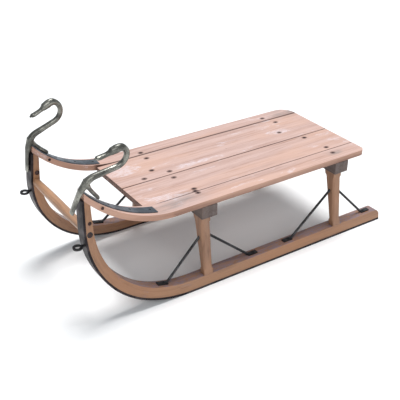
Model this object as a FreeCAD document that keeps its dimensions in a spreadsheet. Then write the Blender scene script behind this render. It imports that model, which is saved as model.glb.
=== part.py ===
import FreeCAD, Part
import math
import os
import Sketcher
from FreeCAD import Placement, Rotation, Vector

# An antique child's sled: two splayed wooden runners shod with iron, four posts, two cross beams, a deck of
# four boards whose outer two run on as arms to the runners' tops, and a cast swan on each runner.
# +X is forward, +Y is the sled's left, +Z is up. The origin is on the floor, midway along and across.
# Every side piece is made on the left, and its right-hand twin is its mirror image.

DOCUMENT = FreeCAD.newDocument("wooden_sled")

# Driving dimensions: name, millimetres or degrees, what it is.
DIMENSIONS = [
    ("overall_length", 990, "runners' rear tips to the front of the rope eyes"),
    ("track_width", 399, "outer edge to outer edge of the two soles"),
    ("lean", 6.8, "each side leans inwards by this angle from the upright"),
    ("runner_thickness", 33, "runner, side to side"),
    ("runner_height", 28, "runner's wood on its straight part"),
    ("runner_tip_radius", 18, "rounding of the runner's rear end"),
    ("shoe_thickness", 6, "iron shoe"),
    ("eye_reach", 25.49, "rope eyes reach ahead of the runner's front by this"),
    ("bend_radius", 340, "sole's first, gentle bend"),
    ("bend_angle", 21.3, "turn of the first bend"),
    ("front_radius", 245, "sole's second, tighter bend"),
    ("front_rake", 3, "runner's front leans back by this angle"),
    ("inner_bend_lead", 9, "runner's top edge starts to rise this far before its sole"),
    ("inner_bend_radius", 351, "top edge's first bend"),
    ("inner_bend_angle", 18, "turn of that bend"),
    ("runner_front_depth", 18.24, "runner's wood, fore and aft, where its front begins"),
    ("deck_top", 250, "deck's top above the floor"),
    ("deck_thickness", 16, "deck boards and arms"),
    ("runner_tail", 78, "runner stands out behind the deck by this"),
    ("deck_run_on", 60, "centre boards run on past the arms' start by this"),
    ("deck_overhang", 10.31, "deck's edge stands out past the side's face by this"),
    ("left_rail_width", 55, "left outer board"),
    ("right_rail_width", 48, "right outer board"),
    ("centre_seam", 11, "seam between the two centre boards"),
    ("board_gap", 1, "open seam between boards"),
    ("left_corner_radius", 18, "deck's rear left corner"),
    ("right_corner_radius", 44, "deck's rear right corner"),
    ("arm_reach", 246.51, "outer boards begin to rise as arms this far behind the runner's front"),
    ("arm_radius", 310, "the arms' upward curve, on top"),
    ("arm_under_radius", 318, "the arms' slacker underside, which thickens them forwards"),
    ("strap_thickness", 3, "iron strap on an arm"),
    ("strap_rear", 270, "strap's rear end"),
    ("strap_width", 30, "strap at its rear end"),
    ("strap_margin", 12, "wood left bare outside the strap's rear end"),
    ("strap_front_width", 25, "strap at its front end"),
    ("strap_front_margin", 2, "wood left bare outside the strap's front end"),
    ("front_post_inset", 149, "front posts' middle behind the deck's front"),
    ("rear_post_inset", 97, "rear posts' middle ahead of the deck's rear"),
    ("post_length", 28, "post, fore and aft"),
    ("post_foot", 18, "post's width at the runner"),
    ("post_head", 38, "post's width at the beam"),
    ("beam_length", 48, "cross beam, fore and aft"),
    ("beam_height", 35, "cross beam"),
    ("beam_ahead", 2, "beam stands out ahead of the posts by this"),
    ("beam_overhang", 2, "beam's end stands out past the deck's edge by this"),
    ("brace_radius", 3.5, "iron brace"),
    ("brace_head", 151, "where a brace enters its post"),
    ("brace_bend", 12, "bend of a brace above its foot"),
    ("brace_foot_width", 13, "flattened foot of a brace"),
    ("brace_foot_height", 4, "thickness of that foot"),
    ("brace_foot_length", 30, "foot from the bend to its end"),
    ("front_fore_reach", 119, "front post's fore brace meets the runner this far from the post's middle"),
    ("front_aft_reach", 140, "front post's aft brace"),
    ("rear_fore_reach", 159, "rear post's fore brace"),
    ("rear_aft_reach", 112, "rear post's aft brace"),
    ("rung_inset", 14.51, "front rung's middle behind the runner's front"),
    ("rung_level", 253, "front rung above the floor"),
    ("rung_radius", 12, "rung's middle"),
    ("rung_end_radius", 9.5, "rung's ends"),
    ("eye_level", 221, "rope eyes above the floor"),
    ("eye_radius", 12, "rope eye's outside"),
    ("eye_hole_radius", 6.5, "rope eye's hole"),
    ("eye_thickness", 5, "rope eye"),
    ("shank_width", 7, "shank between the eye and the shoe"),
    ("toe_rise", 33, "lower end of the swan's toe above the deck"),
    ("toe_thickness", 9, "toe in front of the shoe, and leg on the strap"),
    ("toe_width", 17, "swan's toe, leg and chest, side to side"),
    ("leg_reach", 54.51, "swan's leg ends this far behind the runner's front"),
    ("chest_rise", 132, "top of the swan's chest above the deck"),
    ("chest_reach", 18.51, "swan's chest ends this far behind the runner's front"),
    ("neck_radius", 7.5, "swan's neck"),
    ("neck_inset", 8.71, "neck's start behind the runner's front"),
    ("neck_rise", 118, "neck's start above the deck"),
    ("neck_foot_angle", 101, "neck's first direction, from straight ahead"),
    ("neck_straight", 1, "neck's first straight"),
    ("chest_radius", 30, "neck's backward bend"),
    ("chest_angle", 56, "turn of that bend"),
    ("neck_run", 53, "neck's second straight"),
    ("hook_radius", 30.5, "neck's forward bend"),
    ("hook_angle", 165, "turn of that bend"),
    ("head_back", 14, "head's start behind the neck's end"),
    ("head_drop", 6, "head's axis below the neck's end"),
    ("head_angle", 27, "head and bill point down by this angle"),
    ("head_length", 38, "head without its bill"),
    ("head_curve", 25, "curve of the head's side"),
    ("bill_base_radius", 6.5, "bill at the head"),
    ("bill_tip_radius", 4, "bill at its end"),
    ("bill_length", 28, "bill up to its rounded end"),
    ("loose_tilt", 25, "the left swan has come loose and tips over by this angle"),
    ("loose_way", 62, "it tips this way, from straight back towards the outer side"),
    ("loose_slip", 6, "it has also slipped forward by this, up the strap"),
    ("loose_shift", 4, "and outwards by this"),
]


class Size:
    """A number together with the expression that gives it from the spreadsheet."""

    def __init__(self, value, text):
        self.value = value
        self.text = text

    def __add__(self, other):
        return joined(self, "+", other)

    def __radd__(self, other):
        return joined(other, "+", self)

    def __sub__(self, other):
        return joined(self, "-", other)

    def __rsub__(self, other):
        return joined(other, "-", self)

    def __mul__(self, other):
        return joined(self, "*", other)

    def __rmul__(self, other):
        return joined(other, "*", self)

    def __truediv__(self, other):
        return joined(self, "/", other)

    def __neg__(self):
        return joined(0, "-", self)


def sized(number):
    return number if isinstance(number, Size) else Size(number, repr(number))


def joined(left, sign, right):
    left = sized(left)
    right = sized(right)
    value = {
        "+": lambda: left.value + right.value,
        "-": lambda: left.value - right.value,
        "*": lambda: left.value * right.value,
        "/": lambda: left.value / right.value,
    }[sign]()
    return Size(value, f"({left.text} {sign} {right.text})")


def root(size):
    return Size(math.sqrt(size.value), f"sqrt({size.text})")


def sine(angle):
    return Size(math.sin(math.radians(angle.value)), f"sin({angle.text})")


def cosine(angle):
    return Size(math.cos(math.radians(angle.value)), f"cos({angle.text})")


def tangent(angle):
    return Size(math.tan(math.radians(angle.value)), f"tan({angle.text})")


def filled_sheet():
    sheet = DOCUMENT.addObject("Spreadsheet::Sheet", "Sizes")
    sheet.set("A1", "name")
    sheet.set("B1", "value")
    sheet.set("C1", "meaning")
    for row, (name, number, meaning) in enumerate(DIMENSIONS, start=2):
        sheet.set(f"A{row}", name)
        sheet.set(f"B{row}", str(number))
        sheet.setAlias(f"B{row}", name)
        sheet.set(f"C{row}", meaning)
    DOCUMENT.recompute()


filled_sheet()


class Sizes:
    """The driving dimensions, each by its name."""


for dimension, amount, _ in DIMENSIONS:
    setattr(Sizes, dimension, Size(amount, f"Sizes.{dimension}"))


# Places that several pieces share, worked out from the driving dimensions.
REACH = 20  # how far a cutting outline runs past what it cuts
HALF_LENGTH = Sizes.overall_length / 2
FRONT = HALF_LENGTH - Sizes.eye_reach
RUNNER_TOP = Sizes.shoe_thickness + Sizes.runner_height
SOLE_CENTRE_X = FRONT - Sizes.front_radius
SOLE_CENTRE_Z = Sizes.bend_radius - (Sizes.bend_radius - Sizes.front_radius) * cosine(Sizes.bend_angle)
BEND_START = SOLE_CENTRE_X - (Sizes.bend_radius - Sizes.front_radius) * sine(Sizes.bend_angle)
INNER_BEND_START = BEND_START - Sizes.inner_bend_lead
ARM_START = FRONT - Sizes.arm_reach
DECK_FRONT = ARM_START + Sizes.deck_run_on
DECK_REAR = Sizes.runner_tail - HALF_LENGTH
DECK_BOTTOM = Sizes.deck_top - Sizes.deck_thickness
BEAM_BOTTOM = DECK_BOTTOM - Sizes.beam_height
ARM_UNDER_CENTRE = DECK_BOTTOM + Sizes.arm_under_radius
ARM_TOP_CENTRE = Sizes.deck_top + Sizes.arm_radius
STRAP_TOP_RADIUS = Sizes.arm_radius - Sizes.strap_thickness
FRONT_POST = DECK_FRONT - Sizes.front_post_inset
REAR_POST = DECK_REAR + Sizes.rear_post_inset
RUNG_PLACE = FRONT - Sizes.rung_inset
TOE_LEVEL = Sizes.deck_top + Sizes.toe_rise
LEG_REAR = FRONT - Sizes.leg_reach
CHEST_LEVEL = Sizes.deck_top + Sizes.chest_rise
CHEST_BACK = FRONT - Sizes.chest_reach
NECK_FOOT = FRONT - Sizes.neck_inset
NECK_FOOT_LEVEL = Sizes.deck_top + Sizes.neck_rise


def side_face(level, inset=0):
    """Distance from the middle plane to the side's leaning face, at a level, less an inset."""
    return Sizes.track_width / 2 - tangent(Sizes.lean) * level - inset


HALF_DECK = side_face(Sizes.deck_top) + Sizes.deck_overhang
HALF_BEAM = HALF_DECK + Sizes.beam_overhang


def side_middle(level):
    return side_face(level, Sizes.runner_thickness / 2)


def sole_arc_end(depth):
    """Where the two bends of the sole meet, on a line this deep inside it."""
    radius = Sizes.bend_radius - depth
    x = BEND_START + radius * sine(Sizes.bend_angle)
    z = Sizes.bend_radius - radius * cosine(Sizes.bend_angle)
    return x, z


def front_start(depth):
    """Where the straight front begins, on a line this deep inside the sole."""
    radius = Sizes.front_radius - depth
    x = SOLE_CENTRE_X + radius * cosine(Sizes.front_rake)
    z = SOLE_CENTRE_Z + radius * sine(Sizes.front_rake)
    return x, z


def front_at_level(depth, level):
    """The straight front's place at a level."""
    x, z = front_start(depth)
    return x - (level - z) * tangent(Sizes.front_rake)


def front_meets_arc(depth, centre_z, radius):
    """Where the straight front crosses an arm arc, whose centre is above the arm's start."""
    slope = tangent(Sizes.front_rake)
    across = front_at_level(depth, centre_z) - ARM_START
    under_root = (1 + slope * slope) * radius * radius - across * across
    level = centre_z + (across * slope - root(under_root)) / (1 + slope * slope)
    return front_at_level(depth, level), level


def runner_top_level(x, on_bend):
    """Level of the runner's top edge, on its straight or on its first bend."""
    if not on_bend:
        return RUNNER_TOP
    along = x - INNER_BEND_START
    radius = Sizes.inner_bend_radius
    return RUNNER_TOP + radius - root(radius * radius - along * along)


def arc_level(x, centre_z, radius):
    """Level of an arm arc at a place along the sled."""
    along = x - ARM_START
    return centre_z - root(radius * radius - along * along)


# Tools for sketches and features

def new_body(label):
    body = DOCUMENT.addObject("PartDesign::Body", label)
    body.Label = label
    return body


def bind(thing, path, size):
    thing.setExpression(path, sized(size).text)


def sketch_on(body, role, name, offset=0, tilt=None):
    """A sketch on one of the body's own planes, moved along its normal, and tilted about its first axis."""
    origin_plane = [plane for plane in body.Origin.OriginFeatures if plane.Role == role][0]
    sketch = body.newObject("Sketcher::SketchObject", f"{body.Label}_{name}")
    sketch.AttachmentSupport = [(origin_plane, "")]
    sketch.MapMode = "FlatFace"
    turn = Rotation(Vector(1, 0, 0), tilt.value) if tilt else Rotation()
    sketch.AttachmentOffset = Placement(Vector(0, 0, sized(offset).value), turn)
    bind(sketch, ".AttachmentOffset.Base.z", offset)
    if tilt:
        bind(sketch, ".AttachmentOffset.Rotation.Angle", tilt)
    return sketch


def hold(sketch, kind, *what):
    """Adds a dimension and ties it to its size."""
    size = sized(what[-1])
    number = sketch.addConstraint(Sketcher.Constraint(kind, *what[:-1], size.value))
    bind(sketch, f"Constraints[{number}]", size)


def hold_point(sketch, edge, end, x, y):
    hold(sketch, "DistanceX", -1, 1, edge, end, x)
    hold(sketch, "DistanceY", -1, 1, edge, end, y)


def arc_between(start, finish, radius, to_left):
    """A short arc between two points, and whether it has to be stored from finish to start."""
    chord = finish - start
    rise = math.sqrt(radius ** 2 - (chord.Length / 2) ** 2)
    left = Vector(-chord.y, chord.x, 0).normalize()
    centre = (start + finish) / 2 + left * (rise if to_left else -rise)
    first, last = (start, finish) if to_left else (finish, start)
    angles = [math.atan2(point.y - centre.y, point.x - centre.x) for point in (first, last)]
    if angles[1] < angles[0]:
        angles[1] += 2 * math.pi
    return Part.ArcOfCircle(Part.Circle(centre, Vector(0, 0, 1), radius), *angles)


def draw(sketch, corners, closed=True):
    """Draws lines and arcs through the corners: (x, y), or (x, y, radius, "left" or "right") before an arc.

    The arc's centre is on the named side of the way along.
    """
    points = [Vector(sized(corner[0]).value, sized(corner[1]).value, 0) for corner in corners]
    count = len(corners)
    edges = []
    for index in range(count if closed else count - 1):
        start = points[index]
        finish = points[(index + 1) % count]
        if len(corners[index]) == 2:
            edges.append((sketch.addGeometry(Part.LineSegment(start, finish)), 1, 2))
            continue
        radius, side = corners[index][2:]
        to_left = side == "left"
        arc = arc_between(start, finish, sized(radius).value, to_left)
        number = sketch.addGeometry(arc)
        edges.append((number, 1, 2) if to_left else (number, 2, 1))
        hold(sketch, "Radius", number, radius)
    for index, (number, start, _) in enumerate(edges):
        hold_point(sketch, number, start, corners[index][0], corners[index][1])
        if closed or index > 0:
            before, _, finish = edges[index - 1]
            sketch.addConstraint(Sketcher.Constraint("Coincident", before, finish, number, start))
    if not closed:
        number, _, finish = edges[-1]
        hold_point(sketch, number, finish, corners[-1][0], corners[-1][1])
    return edges


def draw_box(sketch, x_low, x_high, y_low, y_high):
    draw(sketch, [(x_low, y_low), (x_high, y_low), (x_high, y_high), (x_low, y_high)])


def draw_circle(sketch, x, y, radius):
    centre = Vector(sized(x).value, sized(y).value, 0)
    number = sketch.addGeometry(Part.Circle(centre, Vector(0, 0, 1), sized(radius).value))
    hold_point(sketch, number, 3, x, y)
    hold(sketch, "Radius", number, radius)


def draw_axis(sketch, start, finish):
    """A construction line, to turn an outline about."""
    ends = [Vector(sized(x).value, sized(y).value, 0) for x, y in (start, finish)]
    number = sketch.addGeometry(Part.LineSegment(*ends), True)
    hold_point(sketch, number, 1, *start)
    hold_point(sketch, number, 2, *finish)


def pad(body, sketch, length, both_ways=False):
    feature = body.newObject("PartDesign::Pad", f"{sketch.Name}_pad")
    feature.Profile = sketch
    feature.SideType = "Symmetric" if both_ways else "One side"
    bind(feature, "Length", length)
    return feature


def cut_through(body, sketch):
    """Removes the sketch's outlines right through the body, both ways."""
    feature = body.newObject("PartDesign::Pocket", f"{sketch.Name}_cut")
    feature.Profile = sketch
    feature.SideType = "Symmetric"
    bind(feature, "Length", Sizes.overall_length * 2)
    return feature


def pad_side_view(body, corners, outer, depth):
    """Pads an outline of the side view from an outer distance inwards."""
    sketch = sketch_on(body, "XZ_Plane", "side", -outer)
    draw(sketch, corners)
    return pad(body, sketch, depth)


def sweep_round(body, path, radius, edges):
    """Sweeps a circle along all the edges of a path."""
    section = body.newObject("Sketcher::SketchObject", f"{body.Label}_section")
    section.AttachmentSupport = [(path, "Edge1")]
    section.MapMode = "NormalToEdge"
    section.MapPathParameter = 0
    draw_circle(section, 0, 0, radius)
    DOCUMENT.recompute()
    rod = body.newObject("PartDesign::AdditivePipe", f"{body.Label}_rod")
    rod.Profile = section
    rod.Spine = (path, [f"Edge{number + 1}" for number in range(edges)])


def trim_sides(body, outer_low, outer_high, inner_low, inner_high, low, high):
    """Saws the body to the band between two slanting faces, seen from the front."""
    sketch = sketch_on(body, "YZ_Plane", "band")
    past = Sizes.track_width
    draw(sketch, [(outer_low, low), (past, low), (past, high), (outer_high, high)])
    draw(sketch, [(inner_low, low), (inner_high, high), (-past, high), (-past, low)])
    cut_through(body, sketch)


def trim_to_side(body, inset, width):
    """Saws the body to a leaning band of the side frame."""
    low = sized(-REACH)
    high = Sizes.deck_top * 2
    trim_sides(body, side_face(low, inset), side_face(high, inset),
               side_face(low, inset + width), side_face(high, inset + width), low, high)


def mirrored(source, label):
    twin = DOCUMENT.addObject("Part::Mirroring", label)
    twin.Label = label
    twin.Source = source
    twin.Normal = (0, 1, 0)
    return twin


def with_twin(body, name):
    return [body, mirrored(body, f"{name}_right")]


# The pieces

def runner():
    body = new_body("runner_left")
    depth = Sizes.shoe_thickness
    rear = -HALF_LENGTH
    bend_x = INNER_BEND_START + Sizes.inner_bend_radius * sine(Sizes.inner_bend_angle)
    bend_z = RUNNER_TOP + Sizes.inner_bend_radius * (1 - cosine(Sizes.inner_bend_angle))
    inner_front_x = front_start(depth)[0] - Sizes.runner_front_depth
    inner_front_radius = (inner_front_x - bend_x) / (1 - sine(Sizes.inner_bend_angle))
    inner_front_z = bend_z + inner_front_radius * cosine(Sizes.inner_bend_angle)
    pad_side_view(body, [
        (rear, depth),
        (BEND_START, depth, Sizes.bend_radius - depth, "left"),
        (*sole_arc_end(depth), Sizes.front_radius - depth, "left"),
        front_start(depth),
        (*front_meets_arc(depth, ARM_UNDER_CENTRE, Sizes.arm_under_radius), Sizes.arm_under_radius, "right"),
        (inner_front_x, arc_level(inner_front_x, ARM_UNDER_CENTRE, Sizes.arm_under_radius)),
        (inner_front_x, inner_front_z, inner_front_radius, "right"),
        (bend_x, bend_z, Sizes.inner_bend_radius, "right"),
        (INNER_BEND_START, RUNNER_TOP),
        (rear + Sizes.runner_tip_radius, RUNNER_TOP, Sizes.runner_tip_radius, "left"),
        (rear, RUNNER_TOP - Sizes.runner_tip_radius),
    ], Sizes.track_width / 2, Sizes.track_width / 2)
    trim_to_side(body, 0, Sizes.runner_thickness)
    return with_twin(body, "runner")


def runner_shoe():
    body = new_body("runner_shoe_left")
    depth = Sizes.shoe_thickness
    # The shoe ends with the runner's wood, below the end of the arm.
    top_x, top_z = front_meets_arc(depth, ARM_UNDER_CENTRE, Sizes.arm_under_radius)
    outer_top = (top_x + depth * cosine(Sizes.front_rake), top_z + depth * sine(Sizes.front_rake))
    pad_side_view(body, [
        (-HALF_LENGTH, 0),
        (BEND_START, 0, Sizes.bend_radius, "left"),
        (*sole_arc_end(0), Sizes.front_radius, "left"),
        front_start(0),
        outer_top,
        (top_x, top_z),
        (*front_start(depth), Sizes.front_radius - depth, "right"),
        (*sole_arc_end(depth), Sizes.bend_radius - depth, "right"),
        (BEND_START, depth),
        (-HALF_LENGTH, depth),
    ], Sizes.track_width / 2, Sizes.track_width / 2)
    trim_to_side(body, 0, Sizes.runner_thickness)
    return with_twin(body, "runner_shoe")


def side_rail(label, width, corner_radius):
    """An outer board of the deck, made on the left, running on forward as an arm up to the runner's top."""
    body = new_body(label)
    depth = Sizes.shoe_thickness
    under = front_meets_arc(depth, ARM_UNDER_CENTRE, Sizes.arm_under_radius)
    over = front_meets_arc(depth, ARM_TOP_CENTRE, Sizes.arm_radius)
    pad_side_view(body, [
        (DECK_REAR, DECK_BOTTOM),
        (ARM_START, DECK_BOTTOM, Sizes.arm_under_radius, "left"),
        under,
        (*over, Sizes.arm_radius, "right"),
        (ARM_START, Sizes.deck_top),
        (DECK_REAR, Sizes.deck_top),
    ], HALF_DECK, width)
    plan = sketch_on(body, "XY_Plane", "plan")
    end_x = under[0]
    end_y = side_face(under[1])
    along = end_x - ARM_START
    inwards = HALF_DECK - end_y
    sweep_radius = (along * along + inwards * inwards) / (2 * inwards)
    draw(plan, [
        (ARM_START, HALF_DECK, sweep_radius, "right"),
        (end_x, end_y),
        (end_x + REACH, end_y),
        (end_x + REACH, HALF_DECK + REACH),
        (ARM_START, HALF_DECK + REACH),
    ])
    draw(plan, [
        (DECK_REAR, HALF_DECK - corner_radius, corner_radius, "right"),
        (DECK_REAR + corner_radius, HALF_DECK),
        (DECK_REAR + corner_radius, HALF_DECK + REACH),
        (DECK_REAR - REACH, HALF_DECK + REACH),
        (DECK_REAR - REACH, HALF_DECK - corner_radius),
    ])
    cut_through(body, plan)
    return body


def centre_board(label, y_low, y_high):
    body = new_body(label)
    plan = sketch_on(body, "XY_Plane", "plan", DECK_BOTTOM)
    draw_box(plan, DECK_REAR, DECK_FRONT, y_low, y_high)
    pad(body, plan, Sizes.deck_thickness)
    return body


def arm_strap():
    body = new_body("arm_strap_left")
    depth = Sizes.shoe_thickness
    under = front_meets_arc(depth, ARM_TOP_CENTRE, Sizes.arm_radius)
    over = front_meets_arc(depth, ARM_TOP_CENTRE, STRAP_TOP_RADIUS)
    rear = Sizes.strap_rear
    pad_side_view(body, [
        (rear, arc_level(rear, ARM_TOP_CENTRE, Sizes.arm_radius), Sizes.arm_radius, "left"),
        under,
        (*over, STRAP_TOP_RADIUS, "right"),
        (rear, arc_level(rear, ARM_TOP_CENTRE, STRAP_TOP_RADIUS)),
    ], HALF_DECK, HALF_DECK)
    plan = sketch_on(body, "XY_Plane", "plan")
    rear_outer = HALF_DECK - Sizes.strap_margin
    rear_inner = rear_outer - Sizes.strap_width
    front_outer = side_face(under[1]) - Sizes.strap_front_margin
    front_inner = front_outer - Sizes.strap_front_width
    front = under[0]
    outer_slope = (rear_outer - front_outer) / (front - rear)
    inner_slope = (rear_inner - front_inner) / (front - rear)
    rear_past = rear - REACH
    front_past = front + REACH
    draw(plan, [
        (rear_past, rear_outer + outer_slope * REACH),
        (front_past, front_outer - outer_slope * REACH),
        (front_past, HALF_DECK + REACH),
        (rear_past, HALF_DECK + REACH),
    ])
    draw(plan, [
        (rear_past, rear_inner + inner_slope * REACH),
        (rear_past, -REACH),
        (front_past, -REACH),
        (front_past, front_inner - inner_slope * REACH),
    ])
    cut_through(body, plan)
    return with_twin(body, "arm_strap")


def post(name, middle):
    body = new_body(f"{name}_left")
    front = middle + Sizes.post_length / 2
    rear = middle - Sizes.post_length / 2
    pad_side_view(body, [
        (rear, RUNNER_TOP),
        (front, RUNNER_TOP),
        (front, BEAM_BOTTOM),
        (rear, BEAM_BOTTOM),
    ], Sizes.track_width / 2, Sizes.track_width / 2)
    low = RUNNER_TOP - REACH
    high = BEAM_BOTTOM + REACH
    taper = (Sizes.post_head - Sizes.post_foot) / (BEAM_BOTTOM - RUNNER_TOP)
    trim_sides(body, side_face(low), side_face(high),
               side_face(low, Sizes.post_foot - taper * REACH),
               side_face(high, Sizes.post_head + taper * REACH), low, high)
    return with_twin(body, name)


def cross_beam(label, post_middle):
    body = new_body(label)
    front = post_middle + Sizes.post_length / 2 + Sizes.beam_ahead
    side = sketch_on(body, "XZ_Plane", "side")
    draw_box(side, front - Sizes.beam_length, front, BEAM_BOTTOM, DECK_BOTTOM)
    pad(body, side, HALF_BEAM * 2, both_ways=True)
    return body


def brace(name, middle, bend, ahead, on_bend=False):
    """An iron rod from a post's face down to the runner, flattened at its foot. ahead: 1 fore, -1 aft."""
    body = new_body(f"{name}_left")
    upright = cosine(Sizes.lean)
    toe = bend + ahead * Sizes.brace_foot_length
    bend_level = runner_top_level(bend, on_bend)
    toe_level = runner_top_level(toe, on_bend)
    climb = toe_level - bend_level
    foot_length = root(Sizes.brace_foot_length * Sizes.brace_foot_length + climb * climb)
    foot_run = Sizes.brace_foot_length / foot_length
    foot_rise = climb / foot_length

    start_x = middle + ahead * (Sizes.post_length / 2 - Sizes.brace_foot_width)
    base = bend_level / upright + Sizes.brace_radius / foot_run
    run = ahead * (bend - start_x)
    fall = Sizes.brace_head / upright - base
    slant = root(run * run + fall * fall)
    # The bend takes its radius times the tangent of half the turn from each straight.
    meeting = (run * foot_run - fall * foot_rise) / slant
    tail = Sizes.brace_bend * root((1 - meeting) / (1 + meeting))
    path = sketch_on(body, "XZ_Plane", "path", -side_middle(0), Sizes.lean)
    tail_end = tail + Sizes.brace_bend / 2
    draw(path, [
        (start_x, base + fall),
        (bend - ahead * tail * run / slant, base + tail * fall / slant,
         Sizes.brace_bend, "left" if ahead > 0 else "right"),
        (bend + ahead * tail * foot_run, base + tail * foot_rise),
        (bend + ahead * tail_end * foot_run, base + tail_end * foot_rise),
    ], closed=False)
    sweep_round(body, path, Sizes.brace_radius, 3)

    foot = sketch_on(body, "XZ_Plane", "foot", -side_middle(bend_level) - Sizes.brace_foot_width / 2)
    draw(foot, [
        (bend, bend_level),
        (toe, toe_level),
        (toe, toe_level + Sizes.brace_foot_height),
        (bend, bend_level + Sizes.brace_foot_height),
    ])
    pad(body, foot, Sizes.brace_foot_width)
    inside = sketch_on(body, "XY_Plane", "inside_post")
    draw_box(inside, middle - Sizes.post_length / 2, middle + Sizes.post_length / 2, 0, Sizes.track_width)
    cut_through(body, inside)
    return with_twin(body, name)


def front_rung():
    """A turned bar, fuller in the middle, between the two runners' fronts."""
    body = new_body("front_rung")
    bind(body, ".Placement.Base.x", RUNG_PLACE)
    bind(body, ".Placement.Base.z", Sizes.rung_level)
    outline = sketch_on(body, "XY_Plane", "outline")
    reach = side_middle(Sizes.rung_level)
    swell = Sizes.rung_radius - Sizes.rung_end_radius
    curve = (reach * reach + swell * swell) / (2 * swell)
    draw(outline, [
        (0, -reach),
        (Sizes.rung_end_radius, -reach, curve, "left"),
        (Sizes.rung_end_radius, reach),
        (0, reach),
    ])
    turned = body.newObject("PartDesign::Revolution", "front_rung_turned")
    turned.Profile = outline
    turned.ReferenceAxis = (outline, ["V_Axis"])
    turned.Angle = 360
    ends = sketch_on(body, "YZ_Plane", "ends")
    low = -Sizes.rung_radius * 2
    high = Sizes.rung_radius * 2
    inner_low = side_face(Sizes.rung_level + low, Sizes.runner_thickness)
    inner_high = side_face(Sizes.rung_level + high, Sizes.runner_thickness)
    past = Sizes.track_width
    draw(ends, [(inner_low, low), (past, low), (past, high), (inner_high, high)])
    draw(ends, [(-inner_low, low), (-inner_high, high), (-past, high), (-past, low)])
    cut_through(body, ends)
    return [body]


def rope_eye():
    """A flat iron ring lying level, with a short shank to the shoe."""
    body = new_body("rope_eye_left")
    centre_x = HALF_LENGTH - Sizes.eye_radius
    centre_y = side_middle(Sizes.eye_level)
    bottom = Sizes.eye_level - Sizes.eye_thickness / 2
    ring = sketch_on(body, "XY_Plane", "ring", bottom)
    draw_circle(ring, centre_x, centre_y, Sizes.eye_radius)
    draw_circle(ring, centre_x, centre_y, Sizes.eye_hole_radius)
    pad(body, ring, Sizes.eye_thickness)
    shank = sketch_on(body, "XY_Plane", "shank", bottom)
    rise = SOLE_CENTRE_Z - bottom - Sizes.eye_thickness
    shoe_front = SOLE_CENTRE_X + root(Sizes.front_radius * Sizes.front_radius - rise * rise)
    half = Sizes.shank_width / 2
    ring_middle = (Sizes.eye_radius + Sizes.eye_hole_radius) / 2
    draw_box(shank, shoe_front, centre_x - ring_middle, centre_y - half, centre_y + half)
    pad(body, shank, Sizes.eye_thickness)
    return with_twin(body, "rope_eye")


def bent_path(x, y, heading, steps):
    """Corners of a path given as straights (length,) and bends (radius, turn, side)."""
    corners = []
    for step in steps:
        if len(step) == 1:
            corners.append((x, y))
            x = x + step[0] * cosine(heading)
            y = y + step[0] * sine(heading)
            continue
        radius, turn, side = step
        sign = 1 if side == "left" else -1
        corners.append((x, y, radius, side))
        x = x - sign * radius * sine(heading)
        y = y + sign * radius * cosine(heading)
        heading = heading + sign * turn
        x = x + sign * radius * sine(heading)
        y = y - sign * radius * cosine(heading)
    return corners + [(x, y)]


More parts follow.
